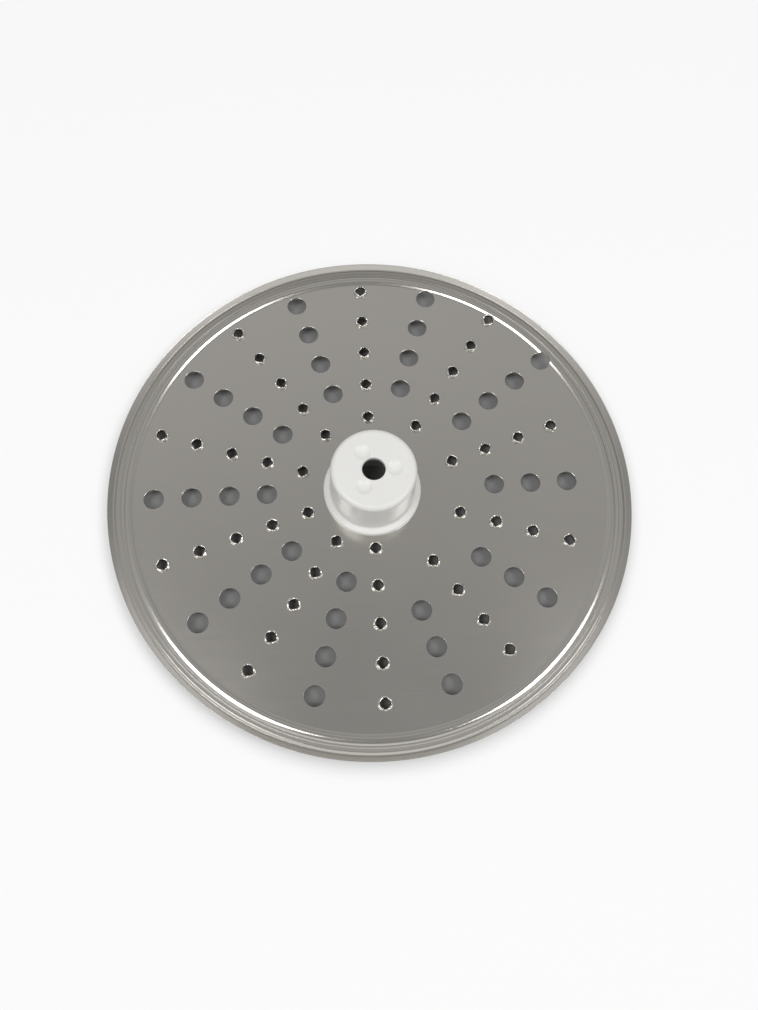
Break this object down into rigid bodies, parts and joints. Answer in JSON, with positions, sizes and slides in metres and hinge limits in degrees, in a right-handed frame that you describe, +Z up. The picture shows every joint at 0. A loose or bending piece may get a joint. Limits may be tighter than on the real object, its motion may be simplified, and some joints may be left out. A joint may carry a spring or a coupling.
{
  "type": "food processor grating disc",
  "caption": "Round steel grating disc for a food processor, with spiral rows of punched teeth and plain holes, a ridged rim and a white moulded hub that fits a drive spindle.",
  "frame": {"origin": "centre of the hub's lower face, on the drive axis", "axes": "+Z up the drive axis towards the hub's top and the teeth's tips; the first row of teeth lies along -Y"},
  "size_m": [0.162, 0.162, 0.0234],
  "materials": {
    "steel": "bright annealed stainless sheet, slightly blurred reflections",
    "white_plastic": "satin moulded white plastic"
  },
  "bodies": {
    "root": {"grating_disc": "steel", "hub": "white_plastic"}
  },
  "joints": []
}
